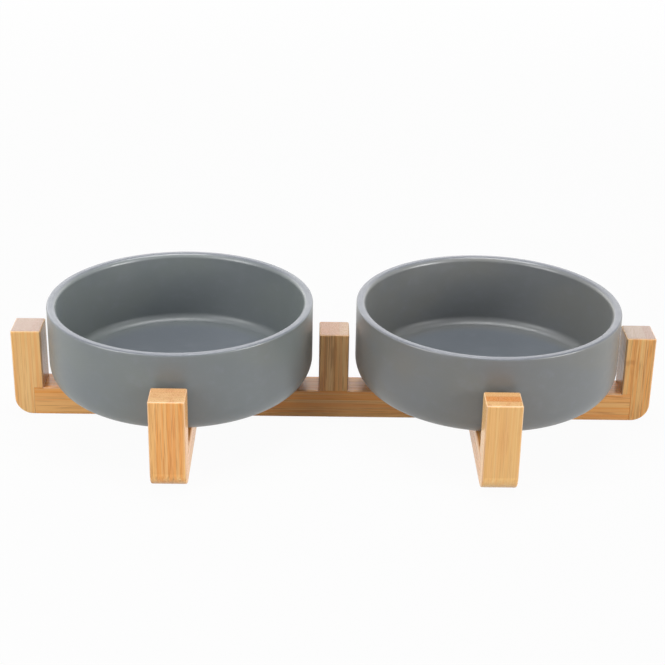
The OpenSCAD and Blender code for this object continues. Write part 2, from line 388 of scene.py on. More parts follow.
def connect(tree, node, inputs):
    """Links a node's inputs to sockets, or sets them to values."""
    for key, value in inputs.items():
        if isinstance(value, bpy.types.NodeSocket):
            tree.links.new(value, node.inputs[key])
        else:
            node.inputs[key].default_value = value


def add_node(tree, kind, inputs, out=0, **settings):
    """Adds a node with its settings and inputs, and gives one of its outputs."""
    node = tree.nodes.new("ShaderNode" + kind)
    for key, value in settings.items():
        setattr(node, key, value)
    connect(tree, node, inputs)
    return node.outputs[out]


def new_material(name):
    """A material with a Principled shader, its node tree and that shader."""
    material = bpy.data.materials.new(name)
    material.use_nodes = True
    tree = material.node_tree
    return material, tree, tree.nodes["Principled BSDF"]


def solid(rgb):
    """A colour property as a socket value."""
    return (*rgb, 1.0)


def in_millimetres(tree, centre=(0, 0, 0), turn=(0, 0, 0)):
    """Object coordinates in millimetres, from a centre and along turned axes."""
    place = add_node(tree, "TexCoord", {}, "Object")
    turned = [math.radians(angle) for angle in turn]
    return add_node(
        tree, "Mapping",
        {"Vector": place, "Location": centre, "Rotation": turned, "Scale": (MM, MM, MM)},
        vector_type="TEXTURE",
    )


def layered(tree, under, layers, way="MIX"):
    """Lays colours over a colour. A layer is a value, the two levels between which its
    share changes, the share at each of them, and its colour. Without a share at either
    level it is left out."""
    for value, low, high, at_low, at_high, tint in layers:
        if at_low or at_high:
            share = add_node(
                tree, "MapRange", {0: value, 1: low, 2: high, 3: at_low, 4: at_high}, **SMOOTH,
            )
            under = add_node(
                tree, "Mix", {0: share, 6: under, 7: solid(tint)}, blend_type=way, **COLOURS,
            )
    return under


def matt_glaze(centre, warm):
    """Stoneware with a matt grey glaze, sprayed and fired: soft clouds of warmer and
    bluer grey, bluer on the floor, partly where it pooled and partly as painted cool
    light from overhead, a cooler, darker grey on the rim whose cool tint is painted cool
    light as well, the rim a little glossier, faint rings from the wheel, and a satin
    sheen at low angles. warm is how far this bowl leans to the warmer grey."""
    looks = bpy.context.scene.pet_bowl_ware
    material, tree, shader = new_material("Stoneware, matt glaze")
    mm = in_millimetres(tree, centre)
    # Each noise has its size in mm along X, Y and Z, its detail and its roughness
    clouds, mottle, rings, grit = [
        add_node(tree, "TexNoise", {
            "Vector": add_node(
                tree, "VectorMath", {0: mm, 1: [1 / s for s in size]}, operation="MULTIPLY",
            ),
            "Scale": 1.0, "Detail": detail, "Roughness": rough,
        })
        for size, detail, rough in (
            ((60, 60, 34), 2, 0.5), ((7, 7, 5), 4, 0.6), ((240, 240, 1.6), 2, 0.5),
            ((0.9, 0.9, 0.9), 3, 0.5),
        )
    ]
    flat = add_node(tree, "VectorMath", {0: mm, 1: (1, 1, 0)}, operation="MULTIPLY")
    reach = add_node(tree, "VectorMath", {0: flat}, "Value", operation="LENGTH")
    height = add_node(tree, "SeparateXYZ", {0: mm}, "Z")
    cloudy = add_node(tree, "MapRange", {0: clouds, 1: 0.38, 2: 0.62, 3: 0.0, 4: 0.4}, **SMOOTH)
    # Bluer towards the middle: partly glaze pooled on the floor, partly painted cool light from
    # overhead
    pooled_and_cool_light = add_node(tree, "MapRange", {0: reach, 1: 56, 2: 70, 3: 1.0, 4: 0.0}, **SMOOTH)
    cool = add_node(tree, "Math", {0: cloudy, 1: pooled_and_cool_light}, operation="MAXIMUM")
    own = [a + (b - a) * warm for a, b in zip(looks.glaze, looks.glaze_warm)]
    base = add_node(tree, "Mix", {0: cool, 6: solid(own), 7: solid(looks.glaze_cool_and_cool_light)}, **COLOURS)
    base = layered(tree, base, (
        (mottle, 0.45, 0.85, 0.0, 0.25, looks.glaze_thin),
        # A cooler, darker grey on the rim, whose cool tint is painted cool light from above
        (height, 53.0, 53.9, 0.0, 0.8, looks.glaze_rim),
    ))
    dull = add_node(tree, "MapRange", {0: mottle, 1: 0.3, 2: 0.7, 3: 0.35, 4: 0.43}, **SMOOTH)
    # The rim is fired a little glossier, which draws thin lights along its lips
    gloss = add_node(tree, "MapRange", {0: height, 1: 50.8, 2: 52.4, 3: 0.0, 4: 0.3}, **SMOOTH)
    relief = add_node(tree, "Math", {0: rings, 1: 0.5, 2: grit}, operation="MULTIPLY_ADD")
    bump = add_node(tree, "Bump", {"Height": relief, "Strength": 0.2, "Distance": 0.02 * MM})
    connect(tree, shader, {
        "Base Color": base, "Roughness": dull, "IOR": 1.6, "Normal": bump,
        "Coat Weight": gloss, "Coat Roughness": 0.12,
    })
    return material


def strip_bamboo(
    node, grain, seed, tone, streaky=1.0, end_dullness_and_sheen=0.2, knuckle_at=100.0, smoky=0.0,
):
    """Three bamboo strips glued face to face, planed and given satin varnish: straight
    fibres, short dark bundles, thin glue lines, now and then a knuckle, dotted end
    grain, which is also greyed as a painted sheen on the tops, and a painted highlight
    along the rounded edges. The fibres lie along the X axis turned by grain, and the
    strips are stacked along Z. tone is how far the bar leans to amber, streaky how
    strong its streaks are, end_dullness_and_sheen how dull and grey its end grain is,
    the grey being painted sheen, knuckle_at where the first strip's knuckle crosses,
    in mm from the bar's middle, and smoky how dark its darkest streaks are."""
    looks = bpy.context.scene.pet_bowl_bamboo
    material, tree, shader = new_material("Bamboo, satin varnish, " + node.replace("_", " "))
    low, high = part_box(node)
    mm = in_millimetres(tree, (low + high) / 2, grain)
    spot = add_node(tree, "SeparateXYZ", {0: mm}).node.outputs
    # Strips are numbered, and those of the next seed start 7 further on
    first = 7 * seed
    strips = add_node(
        tree, "Math", {0: spot["Z"], 1: STRIPS / STOCK_T_MM, 2: 1.5 + first},
        operation="MULTIPLY_ADD",
    )
    strip = add_node(tree, "Math", {0: strips}, operation="FLOOR")
    across = add_node(tree, "Math", {0: strips}, operation="FRACT")
    own = add_node(tree, "TexWhiteNoise", {"W": strip}, "Color", noise_dimensions="1D")
    lot = add_node(tree, "SeparateColor", {0: own}, "Green")
    # Each strip is cut from another place in the culm, up to 900 mm along and 90 across
    apart = add_node(
        tree, "VectorMath", {0: own, 1: (900, 90, 90), 2: mm}, operation="MULTIPLY_ADD",
    )
    # Each noise has its place, its size in mm along the grain and across it both ways,
    # its detail and its roughness
    fine, streaks, broad, smears, wander = [
        add_node(tree, "TexNoise", {
            "Vector": add_node(
                tree, "VectorMath", {0: place, 1: [1 / s for s in size]}, operation="MULTIPLY",
            ),
            "Scale": 1.0, "Detail": detail, "Roughness": rough,
        })
        for place, size, detail, rough in (
            (apart, (110, 0.6, 0.6), 2, 0.6), (apart, (200, 1.8, 1.8), 2, 0.5),
            (apart, (80, 6, 6), 1, 0.5), (apart, (26, 1.3, 1.3), 3, 0.55),
            (mm, (9, 4, 4), 2, 0.5),
        )
    ]
    hair = add_node(tree, "Math", {0: streaks, 1: 0.47}, operation="SUBTRACT")
    hair = add_node(tree, "Math", {0: hair}, operation="ABSOLUTE")
    # Bundles are 26 mm long and 0.7 mm thick, and crowd towards the skin side of a strip
    cells = add_node(
        tree, "VectorMath", {0: apart, 1: (1 / 26, 1 / 0.7, 1 / 0.7)}, operation="MULTIPLY",
    )
    bundles = add_node(tree, "TexVoronoi", {"Vector": cells, "Scale": 1.0}, "Distance")
    crowd = add_node(tree, "Math", {0: across, 1: 0.14, 2: 0.08}, operation="MULTIPLY_ADD")
    bundles = add_node(tree, "Math", {0: bundles, 1: crowd}, operation="SUBTRACT")
    glue = add_node(tree, "Math", {0: across, 1: 0.5}, operation="SUBTRACT")
    glue = add_node(tree, "Math", {0: glue}, operation="ABSOLUTE")
    # A knuckle crosses a strip about every 460 mm, and the strips are staggered by 153 mm
    stagger = add_node(tree, "Math", {0: strip, 1: first}, operation="SUBTRACT")
    along = add_node(tree, "Math", {0: stagger, 1: 153, 2: spot["X"]}, operation="MULTIPLY_ADD")
    along = add_node(tree, "Math", {0: wander, 1: 4, 2: along}, operation="MULTIPLY_ADD")
    along = add_node(tree, "Math", {0: along, 1: knuckle_at + 2}, operation="SUBTRACT")
    knuckle = add_node(tree, "Math", {0: along, 1: 230}, operation="PINGPONG")
    # Along the fibres
    base = layered(tree, solid(looks.honey), (
        (fine, 0.38, 0.62, 0.0, 1.0, looks.pale),
        (lot, 0.0, 1.0, tone - 0.14, tone + 0.14, looks.amber),
        (streaks, 0.46, 0.60, 0.0, 0.75 * streaky, looks.amber),
        (broad, 0.50, 0.68, 0.0, 0.4, looks.rose),
    ))
    base = layered(tree, base, (
        (smears, 0.50, 0.61, 0.0, smoky, looks.brown),
        (hair, 0.0, 0.02, 0.48 * streaky, 0.0, looks.brown),
        (bundles, 0.0, 0.12, 0.12 + 0.22 * streaky, 0.0, looks.brown),
        (glue, 0.475, 0.495, 0.0, 0.3, looks.brown),
    ), "MULTIPLY")
    # Cut across, the fibres are only dots, and the strips show as bands
    cut = layered(tree, solid(looks.pale), (
        (lot, 0.15, 0.85, 0.0, 1.0, looks.amber),
        (broad, 0.45, 0.65, 0.0, 0.5, looks.rose),
    ))
    # The grey of the end grain colour is partly painted sheen on the tops of the posts
    for share, tint, way in (
        (end_dullness_and_sheen, looks.end_grain_and_sheen, "MIX"), (0.38 - 0.38 * end_dullness_and_sheen, looks.brown, "MULTIPLY"),
    ):
        cut = add_node(tree, "Mix", {0: share, 6: cut, 7: solid(tint)}, blend_type=way, **COLOURS)
    cut = layered(tree, cut, (
        (bundles, 0.0, 0.12, 0.3, 0.0, looks.brown),
        (glue, 0.475, 0.495, 0.0, 0.5 - 0.3 * end_dullness_and_sheen, looks.brown),
    ), "MULTIPLY")
    fibres = Euler([math.radians(angle) for angle in grain]).to_matrix() @ Vector((1, 0, 0))
    normal = add_node(tree, "TexCoord", {}, "Normal")
    end = add_node(tree, "VectorMath", {0: normal, 1: fibres}, "Value", operation="DOT_PRODUCT")
    end = add_node(tree, "Math", {0: end}, operation="ABSOLUTE")
    end = add_node(tree, "MapRange", {0: end, 1: 0.78, 2: 0.98}, **SMOOTH)
    base = add_node(tree, "Mix", {0: end, 6: base, 7: cut}, **COLOURS)
    base = layered(tree, base, ((knuckle, 0.4, 2.4, 0.3, 0.0, looks.brown),), "MULTIPLY")
    # A painted highlight makes the rounded edges that face sideways or up paler, where the
    # varnish would catch the light. The heels are not lightened, nor the tiny chamfers along
    # the joints, which lie at just 45 degrees
    faces = add_node(tree, "SeparateXYZ", {0: normal}).node.outputs
    x, y, z = [add_node(tree, "Math", {0: face}, operation="ABSOLUTE") for face in faces]
    flatness = add_node(tree, "Math", {0: x, 1: y}, operation="MAXIMUM")
    flatness = add_node(tree, "Math", {0: flatness, 1: z}, operation="MAXIMUM")
    slant = add_node(tree, "Math", {0: flatness, 1: math.sqrt(0.5)}, operation="SUBTRACT")
    slant = add_node(tree, "Math", {0: slant}, operation="ABSOLUTE")
    edge = add_node(tree, "MapRange", {0: flatness, 1: 0.80, 2: 0.97, 3: 0.5, 4: 0.0}, **SMOOTH)
    for value, none_at, all_at in ((slant, 0.002, 0.012), (faces["Z"], -0.4, -0.1)):
        kept = add_node(tree, "MapRange", {0: value, 1: none_at, 2: all_at}, **SMOOTH)
        edge = add_node(tree, "Math", {0: edge, 1: kept}, operation="MULTIPLY")
    # The painted highlight is mixed in along those edges here
    base = add_node(tree, "Mix", {0: edge, 6: base, 7: solid(looks.edge_highlight)}, **COLOURS)
    dull = add_node(tree, "MapRange", {0: fine, 1: 0.3, 2: 0.7, 3: 0.32, 4: 0.24}, **SMOOTH)
    pits = add_node(tree, "MapRange", {0: bundles, 1: 0.0, 2: 0.12, 3: 0.5, 4: 0.0}, **SMOOTH)
    groove = add_node(tree, "MapRange", {0: glue, 1: 0.475, 2: 0.495, 3: 0.0, 4: 0.8}, **SMOOTH)
    relief = add_node(tree, "Math", {0: fine, 1: pits}, operation="SUBTRACT")
    relief = add_node(tree, "Math", {0: relief, 1: groove}, operation="SUBTRACT")
    bump = add_node(tree, "Bump", {"Height": relief, "Strength": 0.3, "Distance": 0.03 * MM})
    connect(tree, shader, {
        "Base Color": base, "Roughness": dull, "IOR": 1.5, "Specular IOR Level": 0.35,
        "Normal": bump,
    })
    return material


def milled_beech(name, turn):
    """Beech, milled to a rod and left bare: short flecks along a pale pinkish wood."""
    looks = bpy.context.scene.pet_bowl_fittings
    material, tree, shader = new_material("Beech, milled, " + name)
    mm = in_millimetres(tree, turn=turn)
    # Flecks are 2.4 mm long and 0.5 mm thick
    spread = add_node(
        tree, "VectorMath", {0: mm, 1: (1 / 2.4, 1 / 0.5, 1 / 0.5)}, operation="MULTIPLY",
    )
    flecks = add_node(tree, "TexNoise", {"Vector": spread, "Scale": 1.0, "Detail": 3})
    dark = [0.6 * c for c in looks.beech]
    base = layered(tree, solid(looks.beech), ((flecks, 0.5, 0.7, 0.0, 0.6, dark),))
    connect(tree, shader, {"Base Color": base, "Roughness": 0.6})
    return material


def plated_steel():
    """Steel with a thin coat of zinc, tumbled: dull, with small brighter spots."""
    looks = bpy.context.scene.pet_bowl_fittings
    material, tree, shader = new_material("Steel, zinc plated")
    # Spots are 0.7 mm across
    spots = add_node(
        tree, "TexNoise", {"Vector": in_millimetres(tree), "Scale": 1 / 0.7, "Detail": 3},
    )
    dull = add_node(tree, "MapRange", {0: spots, 1: 0.3, 2: 0.7, 3: 0.28, 4: 0.45}, **SMOOTH)
    connect(tree, shader, {"Base Color": solid(looks.steel), "Metallic": 1.0, "Roughness": dull})
    return material


def moulded_rubber():
    """Rubber, moulded in a blasted mould: a fine dull grain."""
    looks = bpy.context.scene.pet_bowl_fittings
    material, tree, shader = new_material("Rubber, moulded")
    # The grain is 0.25 mm across
    grain = add_node(
        tree, "TexNoise", {"Vector": in_millimetres(tree), "Scale": 1 / 0.25, "Detail": 2},
    )
    dusty = [1.25 * c for c in looks.rubber]
    base = layered(tree, solid(looks.rubber), ((grain, 0.4, 0.8, 0.0, 0.6, dusty),))
    bump = add_node(tree, "Bump", {"Height": grain, "Strength": 0.4, "Distance": 0.03 * MM})
    connect(tree, shader, {"Base Color": base, "Roughness": 0.75, "Normal": bump})
    return material


def seen_directly(tree):
    """1 for rays from the camera, from gloss and through glass, and 0 for others."""
    rays = add_node(tree, "LightPath", {}).node.outputs
    seen = rays["Is Camera Ray"]
    for other in (rays["Is Glossy Ray"], rays["Is Transmission Ray"]):
        seen = add_node(tree, "Math", {0: seen, 1: other}, operation="MAXIMUM")
    return seen


# Sizes that the pieces share, read from the CAD frame

RAIL_LOW, RAIL_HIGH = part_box("long_rail")
POST_LOW, POST_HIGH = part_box("left_end_post")
CROSS_LOW, CROSS_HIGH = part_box("right_cross_rail")
STOCK_T = POST_HIGH.x - POST_LOW.x
STOCK_T_MM = STOCK_T / MM
STOCK_W = RAIL_HIGH.y - RAIL_LOW.y
SEAT_Z = RAIL_HIGH.z
UNDER_Z = RAIL_LOW.z
TOP_Z = POST_HIGH.z
# Half way up the rails, where the laps meet and the dowels lie
MID_Z = (UNDER_Z + SEAT_Z) / 2
BOWL_X = (CROSS_LOW.x + CROSS_HIGH.x) / 2
HALF_L = -POST_LOW.x
HALF_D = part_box("right_back_post")[1].y


def round_bowl(name, axis_x, low_z, high_z, radius):
    """One bowl, made from a cylinder: hollowed, given its foot ring, and rounded."""
    looks = bpy.context.scene.pet_bowl_ware
    under_z = low_z + looks.foot_height
    floor_z = under_z + looks.floor
    mouth = radius - looks.wall
    clear()
    bpy.ops.mesh.primitive_cylinder_add(
        vertices=looks.rounds, radius=radius, depth=high_z - under_z,
        end_fill_type="NGON", location=(axis_x, 0, (under_z + high_z) / 2),
    )
    obj = edit(name)
    # Hollow it from the top
    pick("FACE", facing(0, 0, 1))
    bpy.ops.mesh.inset(thickness=looks.wall)
    extrude(0, 0, floor_z - high_z)
    narrow(axis_x, floor_z, (mouth - looks.draft) / mouth)
    # Two more rings keep the floor flat inside its rounded corner
    bpy.ops.mesh.inset(thickness=2 * looks.floor_corner)
    bpy.ops.mesh.inset(thickness=0.45 * mouth)
    # Draw the foot ring out of the underside
    pick("FACE", facing(0, 0, -1))
    bpy.ops.mesh.inset(thickness=radius - looks.foot_radius)
    extrude(0, 0, low_z - under_z)
    bpy.ops.mesh.inset(thickness=looks.foot_width)
    extrude(0, 0, under_z - low_z)
    bpy.ops.mesh.inset(thickness=2 * looks.foot_root)

    def ring(at_radius, at_z):
        """A test for the edges of one ring round the bowl."""
        def test(edge):
            spot = middle(edge)
            level = same(edge.verts[0].co.z, edge.verts[1].co.z) and same(spot.z, at_z)
            return level and abs(math.hypot(spot.x - axis_x, spot.y) - at_radius) < LOOSE
        return test

    # Each edge: its radius, its height, its rounding and the faces across that
    inner_foot = looks.foot_radius - looks.foot_width
    for at_radius, at_z, rounding, segments in (
        (radius, under_z, looks.corner, 14),
        (mouth - looks.draft, floor_z, looks.floor_corner, 10),
        (radius, high_z, looks.lip_outer, 6),
        (mouth, high_z, looks.lip_inner, 10),
        (looks.foot_radius, low_z, looks.foot_edge, 4),
        (inner_foot, low_z, looks.foot_edge, 4),
        (looks.foot_radius, under_z, looks.foot_root, 4),
        (inner_foot, under_z, looks.foot_root, 4),
    ):
        pick("EDGE", ring(at_radius, at_z))
        bevel(rounding, segments)
    return true_flats(done(obj, 60))


def sharp(edge):
    """True for an edge where two faces meet at a clear angle."""
    return len(edge.link_faces) == 2 and edge.calc_face_angle(0) > math.radians(40)


def soften(on_joint):
    """Rounds the bare edges of a bar, and chamfers the edges of its joints a little."""
    looks = bpy.context.scene.pet_bowl_bamboo
    pick("EDGE", lambda e: sharp(e) and not on_joint(middle(e)))
    bevel(looks.arris, 4)
    pick("EDGE", lambda e: sharp(e) and on_joint(middle(e)))
    bevel(looks.joint, 1)


def bore_along(axis, place, start, end, radius):
    """A cylinder to bore a hole with, along X or Z from start to end."""
    middle_of = list(place)
    middle_of[axis] = (start + end) / 2
    clear()
    bpy.ops.mesh.primitive_cylinder_add(
        vertices=32, radius=radius, depth=abs(end - start), location=middle_of,
        rotation=(0, math.radians(90), 0) if axis == 0 else (0, 0, 0),
    )
    bpy.ops.object.transform_apply(location=True, rotation=True, scale=True)
    return bpy.context.object


def bar(name, low, high):
    """A planed bar between two corners, in edit mode."""
    size = Vector(high) - Vector(low)
    clear()
    bpy.ops.mesh.primitive_cube_add(
        size=1, location=(Vector(low) + Vector(high)) / 2, scale=size,
    )
    return edit(name)


def notch(at_x, half_w, from_z, to_z):
    """Opens a notch across the bar in edit mode, from one of its flat sides to to_z."""
    low_z, high_z = sorted((from_z, to_z))

    def inside(face):
        """True for the faces that the notch takes away."""
        spot = face.calc_center_median()
        across = abs(spot.x - at_x) < half_w - NEAR
        return across and low_z - NEAR < spot.z < high_z + NEAR and not same(spot.z, to_z)

    pick("FACE", inside)
    bpy.ops.mesh.delete(type="FACE")
    for wall_x in (at_x - half_w, at_x + half_w):
        pick("VERT", lambda v: same(v.co.x, wall_x) and low_z - NEAR < v.co.z < high_z + NEAR)
        bpy.ops.mesh.edge_face_add()
    pick("VERT", lambda v: abs(v.co.x - at_x) < half_w + NEAR and same(v.co.z, to_z))
    bpy.ops.mesh.edge_face_add()


def half_lapped_rail(name, half_run, opening, seats, laps, lap_side):
    """A rail along X with its cross laps, whose ends go in under the posts. opening is
    where the end posts' inner faces stand, seats lists where another post stands on
    it, and lap_side is the face that the laps are cut from."""
    looks = bpy.context.scene.pet_bowl_bamboo
    half_w = STOCK_W / 2
    lap_half = half_w + looks.lap_clear
    obj = bar(name, (-half_run, -half_w, UNDER_Z), (half_run, half_w, SEAT_Z))
    stops = [-opening, opening]
    for seat in seats:
        stops += [seat - STOCK_T / 2, seat + STOCK_T / 2]
    for lap in laps:
        stops += [lap - lap_half, lap + lap_half]
    for stop in stops:
        cut_across((stop, 0, 0), (1, 0, 0))
    cut_across((0, 0, MID_Z), (0, 0, 1))
    for lap in laps:
        notch(lap, lap_half, lap_side, MID_Z)

    def on_joint(spot):
        """True for places on a glued joint."""
        at_top = same(spot.z, SEAT_Z)
        under_post = abs(spot.x) > opening - NEAR and at_top
        at_seat = any(abs(spot.x - s) < STOCK_T / 2 + NEAR for s in seats) and at_top
        at_lap = any(abs(spot.x - lap) < lap_half + NEAR for lap in laps)
        at_end = same(abs(spot.x), half_run)
        return under_post or at_seat or at_lap or at_end

    soften(on_joint)
    return done(obj)


def end_post(name):
    """The left end post: an upright with a rounded heel, and a lip that sits on the
    end of the rail."""
    looks = bpy.context.scene.pet_bowl_bamboo
    root_x = POST_HIGH.x - looks.rabbet
    obj = bar(name, POST_LOW, (root_x, POST_HIGH.y, TOP_Z))
    cut_across((0, 0, SEAT_Z), (0, 0, 1))
    pick("FACE", lambda f: f.normal.x > ALONG and f.calc_center_median().z > SEAT_Z)
    extrude(looks.rabbet, 0, 0)
    pick("EDGE", lambda e: same(middle(e).x, POST_LOW.x) and same(middle(e).z, UNDER_Z))
    bevel(looks.heel, 12)
    soften(lambda s: s.x > root_x - NEAR and s.z < SEAT_Z + NEAR)
    return done(obj)


def middle_post(name):
    """The post that stands on the middle of the long rail."""
    low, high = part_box("centre_post")
    obj = bar(name, low, high)
    soften(lambda s: same(s.z, SEAT_Z))
    return done(obj)


def bar_into_place(obj, node, grain):
    """Puts a bar in the place of its CAD node, with the fibres along X turned by grain."""
    into_place(obj, node, "stand", strip_bamboo(node, grain, **BARS[node]))


class PETBOWL_OT_bowls(bpy.types.Operator):
    """Make both stoneware bowls, each on its own body"""

    bl_idname = "petbowl.bowls"
    bl_label = "Bowls"
    bl_options = {"REGISTER", "UNDO"}

    def execute(self, context):
        low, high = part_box("left_bowl")
        left = round_bowl("bowl", (low.x + high.x) / 2, low.z, high.z, (high.x - low.x) / 2)
        right = copied(left, "bowl", 0, (2 * BOWL_X, 0, 0))
        for obj, node, axis_x, warm in (
            (left, "left_bowl", -BOWL_X, 0.0), (right, "right_bowl", BOWL_X, 0.8),
        ):
            into_place(obj, node, node, matt_glaze((axis_x, 0, SEAT_Z), warm))
        return {"FINISHED"}


class PETBOWL_OT_rails(bpy.types.Operator):
    """Make the long rail and the two cross rails, half-lapped where they cross"""

    bl_idname = "petbowl.rails"
    bl_label = "Rails"
    bl_options = {"REGISTER", "UNDO"}

    def execute(self, context):
        looks = context.scene.pet_bowl_bamboo
        fittings = context.scene.pet_bowl_fittings
        long_rail = half_lapped_rail(
            "long rail", RAIL_HIGH.x, HALF_L - STOCK_T, [0], [-BOWL_X, BOWL_X], UNDER_Z,
        )
        cross = half_lapped_rail("cross rail", CROSS_HIGH.y, HALF_D - STOCK_T, [], [0], SEAT_Z)
        # Holes for the dowels in the rails' ends, then for the upright one
        for rail, end_node, axis in (
            (long_rail, "right_end_dowel", 0), (cross, "right_back_dowel", 1),
        ):
            low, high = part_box(end_node)
            start, end = low[axis] - looks.glue_gap, high[axis] + looks.arris
            for side in (-1, 1):
                carve(rail, bore_along(0, (0, 0, MID_Z), side * start, side * end, looks.bore))
        low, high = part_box("centre_dowel")
        carve(long_rail, bore_along(2, (0, 0, 0), low.z - looks.glue_gap, high.z, looks.bore))
        # Holes for the screws, sunk for their heads in the cross rail's underside
        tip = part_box("left_lap_screw")[1].z + fittings.screw_clear
        hole = fittings.shank + fittings.screw_clear
        for lap in (-BOWL_X, BOWL_X):
            carve(long_rail, bore_along(2, (lap, 0, 0), UNDER_Z, tip, hole))
        carve(cross, bore_along(2, (0, 0, 0), UNDER_Z - MM, SEAT_Z, hole))
        sink = fittings.head + fittings.screw_clear
        clear()
        bpy.ops.mesh.primitive_cone_add(
            vertices=32, radius1=sink, radius2=hole, depth=sink - hole,
            location=(0, 0, UNDER_Z + (sink - hole) / 2),
        )
        obj = edit("countersink")
        pick("FACE", facing(0, 0, -1))
        extrude(0, 0, -MM)
        bpy.ops.object.mode_set(mode="OBJECT")
        carve(cross, obj)
        true_flats(long_rail)
        true_flats(cross)
        left = copied(cross, "left cross rail", math.radians(90), (-BOWL_X, 0, 0))
        right = copied(cross, "right cross rail", math.radians(90), (BOWL_X, 0, 0))
        bpy.data.objects.remove(cross)
        bar_into_place(long_rail, "long_rail", (0, 0, 0))
        bar_into_place(left, "left_cross_rail", (0, 0, 90))
        bar_into_place(right, "right_cross_rail", (0, 0, 90))
        return {"FINISHED"}


class PETBOWL_OT_posts(bpy.types.Operator):
    """Make the six end posts and the centre post"""

    bl_idname = "petbowl.posts"
    bl_label = "Posts"
    bl_options = {"REGISTER", "UNDO"}

    def execute(self, context):
        looks = context.scene.pet_bowl_bamboo
        first = end_post("left end post")
        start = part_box("left_end_dowel")[0].x - looks.glue_gap
        carve(first, bore_along(0, (0, 0, MID_Z), start, POST_HIGH.x, looks.bore))
        true_flats(first)
        centre = middle_post("centre post")
        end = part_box("centre_dowel")[1].z + looks.glue_gap
        carve(centre, bore_along(2, (0, 0, 0), SEAT_Z - MM, end, looks.bore))
        true_flats(centre)
        for node, turn, axis_x in (
            ("right_end_post", 180, 0),
            ("left_front_post", 90, -BOWL_X), ("left_back_post", -90, -BOWL_X),
            ("right_front_post", 90, BOWL_X), ("right_back_post", -90, BOWL_X),
        ):
            # The left end post fits any rail once it is moved to that rail's reach from
            # the middle of the stand, and turned and moved to the rail's own place
            on_end = turn == 180
            twin = copied(first, node, 0, (0 if on_end else HALF_L - HALF_D, 0, 0))
            twin.data.transform(
                Matrix.Translation((axis_x, 0, 0)) @ Matrix.Rotation(math.radians(turn), 4, "Z")
            )
            bar_into_place(twin, node, (0, -90, 0) if on_end else (0, -90, 90))
        bar_into_place(first, "left_end_post", (0, -90, 0))
        bar_into_place(centre, "centre_post", (0, -90, 0))
        return {"FINISHED"}


def fluted_dowel(name, low, high, axis):
    """A dowel along X or Z between two corners, chamfered and fluted."""
    looks = bpy.context.scene.pet_bowl_fittings
    spot = (low + high) / 2
    sides = 48
    clear()
    bpy.ops.mesh.primitive_cylinder_add(
        vertices=sides, radius=(high.y - low.y) / 2, depth=high[axis] - low[axis],
        location=spot, rotation=(0, math.radians(90), 0) if axis == 0 else (0, 0, 0),
    )
    obj = edit(name)
    over = 2 - axis

    def at_end(edge):
        """True for the edges round the dowel's ends."""
        first, last = (vert.co[axis] for vert in edge.verts)
        return same(first, last)

    def in_flute(vert):
        """True for every third line of points along the dowel."""
        turned = math.atan2(vert.co[over] - spot[over], vert.co.y - spot.y) / math.tau
        return round(turned * sides) % 3 == 1

    pick("EDGE", at_end)
    bevel(looks.dowel_end, 2)
    share = 1 - looks.flute / ((high.y - low.y) / 2)
    pick("VERT", in_flute)
    bpy.ops.transform.resize(
        value=(1, share, share) if axis == 0 else (share, share, 1), center_override=spot,
    )
    return done(obj, 25)


class PETBOWL_OT_dowels(bpy.types.Operator):
    """Make the seven fluted dowels"""

    bl_idname = "petbowl.dowels"
    bl_label = "Dowels"
    bl_options = {"REGISTER", "UNDO"}

    def execute(self, context):
        along_x = milled_beech("along the stand", (0, 0, 0))
        along_y = milled_beech("across the stand", (0, 0, 90))
        upright = milled_beech("upright", (0, -90, 0))
        low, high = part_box(END_DOWELS[0])
        first = fluted_dowel("dowel", low, high, 0)
        centre = (low + high) / 2
        for name in END_DOWELS[1:] + CROSS_DOWELS:
            near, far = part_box(name)
            across = name in CROSS_DOWELS
            twin = copied(
                first, name, math.radians(90 if across else 0), (near + far) / 2 - centre, centre,
            )
            into_place(twin, name, "stand", along_y if across else along_x)
        into_place(first, END_DOWELS[0], "stand", along_x)
        low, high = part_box("centre_dowel")
        stood = fluted_dowel("dowel", low, high, 2)
        into_place(stood, "centre_dowel", "stand", upright)
        return {"FINISHED"}


class PETBOWL_OT_screws(bpy.types.Operator):
    """Make the two countersunk lap screws"""

    bl_idname = "petbowl.screws"
    bl_label = "Lap Screws"
    bl_options = {"REGISTER", "UNDO"}

    def execute(self, context):
        looks = context.scene.pet_bowl_fittings
        low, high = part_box("left_lap_screw")
        axis_x = (low.x + high.x) / 2
        head_h = looks.head - looks.shank
        clear()
        bpy.ops.mesh.primitive_cone_add(
            vertices=32, radius1=looks.head, radius2=looks.shank, depth=head_h,
            location=(axis_x, 0, low.z + head_h / 2),
        )
        screw = edit("lap screw")
        pick("FACE", facing(0, 0, 1))
        extrude(0, 0, 2 * looks.shank)
        # The thread, drawn as rings, up to where the tip begins
        reach = low.z + head_h + 2 * looks.shank
        tip = high.z - 2 * looks.shank
        turns = max(1, round((tip - reach) / looks.thread_pitch))
        step = (tip - reach) / turns / 4
        root = looks.thread_root / looks.shank
        for turn in range(turns):
            for rise, share in ((step, root), (2 * step, 1), (step, 1 / root)):
                extrude(0, 0, rise)
                reach += rise
                narrow(axis_x, reach, share)
        # The tip, drawn out to a point
        extrude(0, 0, 2 * looks.shank)
        narrow(axis_x, high.z, 0.02)
        done(screw)
        # The cross recess in the head
        for turn in (0, 90):
            clear()
            bpy.ops.mesh.primitive_cube_add(
                size=1, location=(axis_x, 0, low.z), rotation=(0, 0, math.radians(turn)),
                scale=(looks.recess_length, looks.recess_width, 2 * looks.recess_depth),
            )
            bpy.ops.object.transform_apply(location=True, rotation=True, scale=True)
            carve(screw, bpy.context.object)
        true_flats(screw)
        twin = copied(screw, "lap screw", 0, (2 * BOWL_X, 0, 0))
        steel = plated_steel()
        into_place(screw, "left_lap_screw", "stand", steel)
        into_place(twin, "right_lap_screw", "stand", steel)
        return {"FINISHED"}


